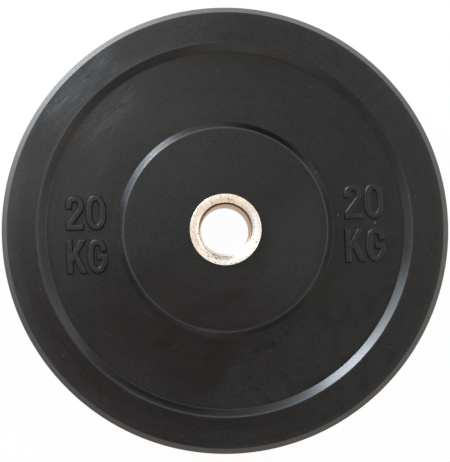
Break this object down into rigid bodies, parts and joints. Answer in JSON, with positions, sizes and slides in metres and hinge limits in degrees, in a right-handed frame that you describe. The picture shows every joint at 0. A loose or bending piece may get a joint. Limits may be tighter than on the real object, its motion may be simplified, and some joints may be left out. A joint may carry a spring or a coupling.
{
  "type": "bumper plate",
  "caption": "Thick rubber weight plate with bevelled rim, sunk web and raised hub, moulded round a steel insert with a dished collar on each face and a plain bore.",
  "frame": {"origin": "on the bore's axis, halfway through the plate's thickness", "axes": "+Z along the bore's axis out of the front face, +Y towards the top of the lettering, +X to its right; the plate lies flat"},
  "size_m": [0.45, 0.45, 0.083],
  "materials": {
    "rubber": "satin black moulded rubber with faint scuffs",
    "collar_steel": "turned and polished, slightly warm, with small pits",
    "sleeve_steel": "bored, duller than the collars",
    "anchor_steel": "plain hot-rolled plate, hidden in the rubber"
  },
  "bodies": {
    "root": {"rubber_disc": "rubber", "hub_sleeve": "sleeve_steel", "anchor_disc": "anchor_steel", "front_collar": "collar_steel", "rear_collar": "collar_steel"}
  },
  "joints": []
}
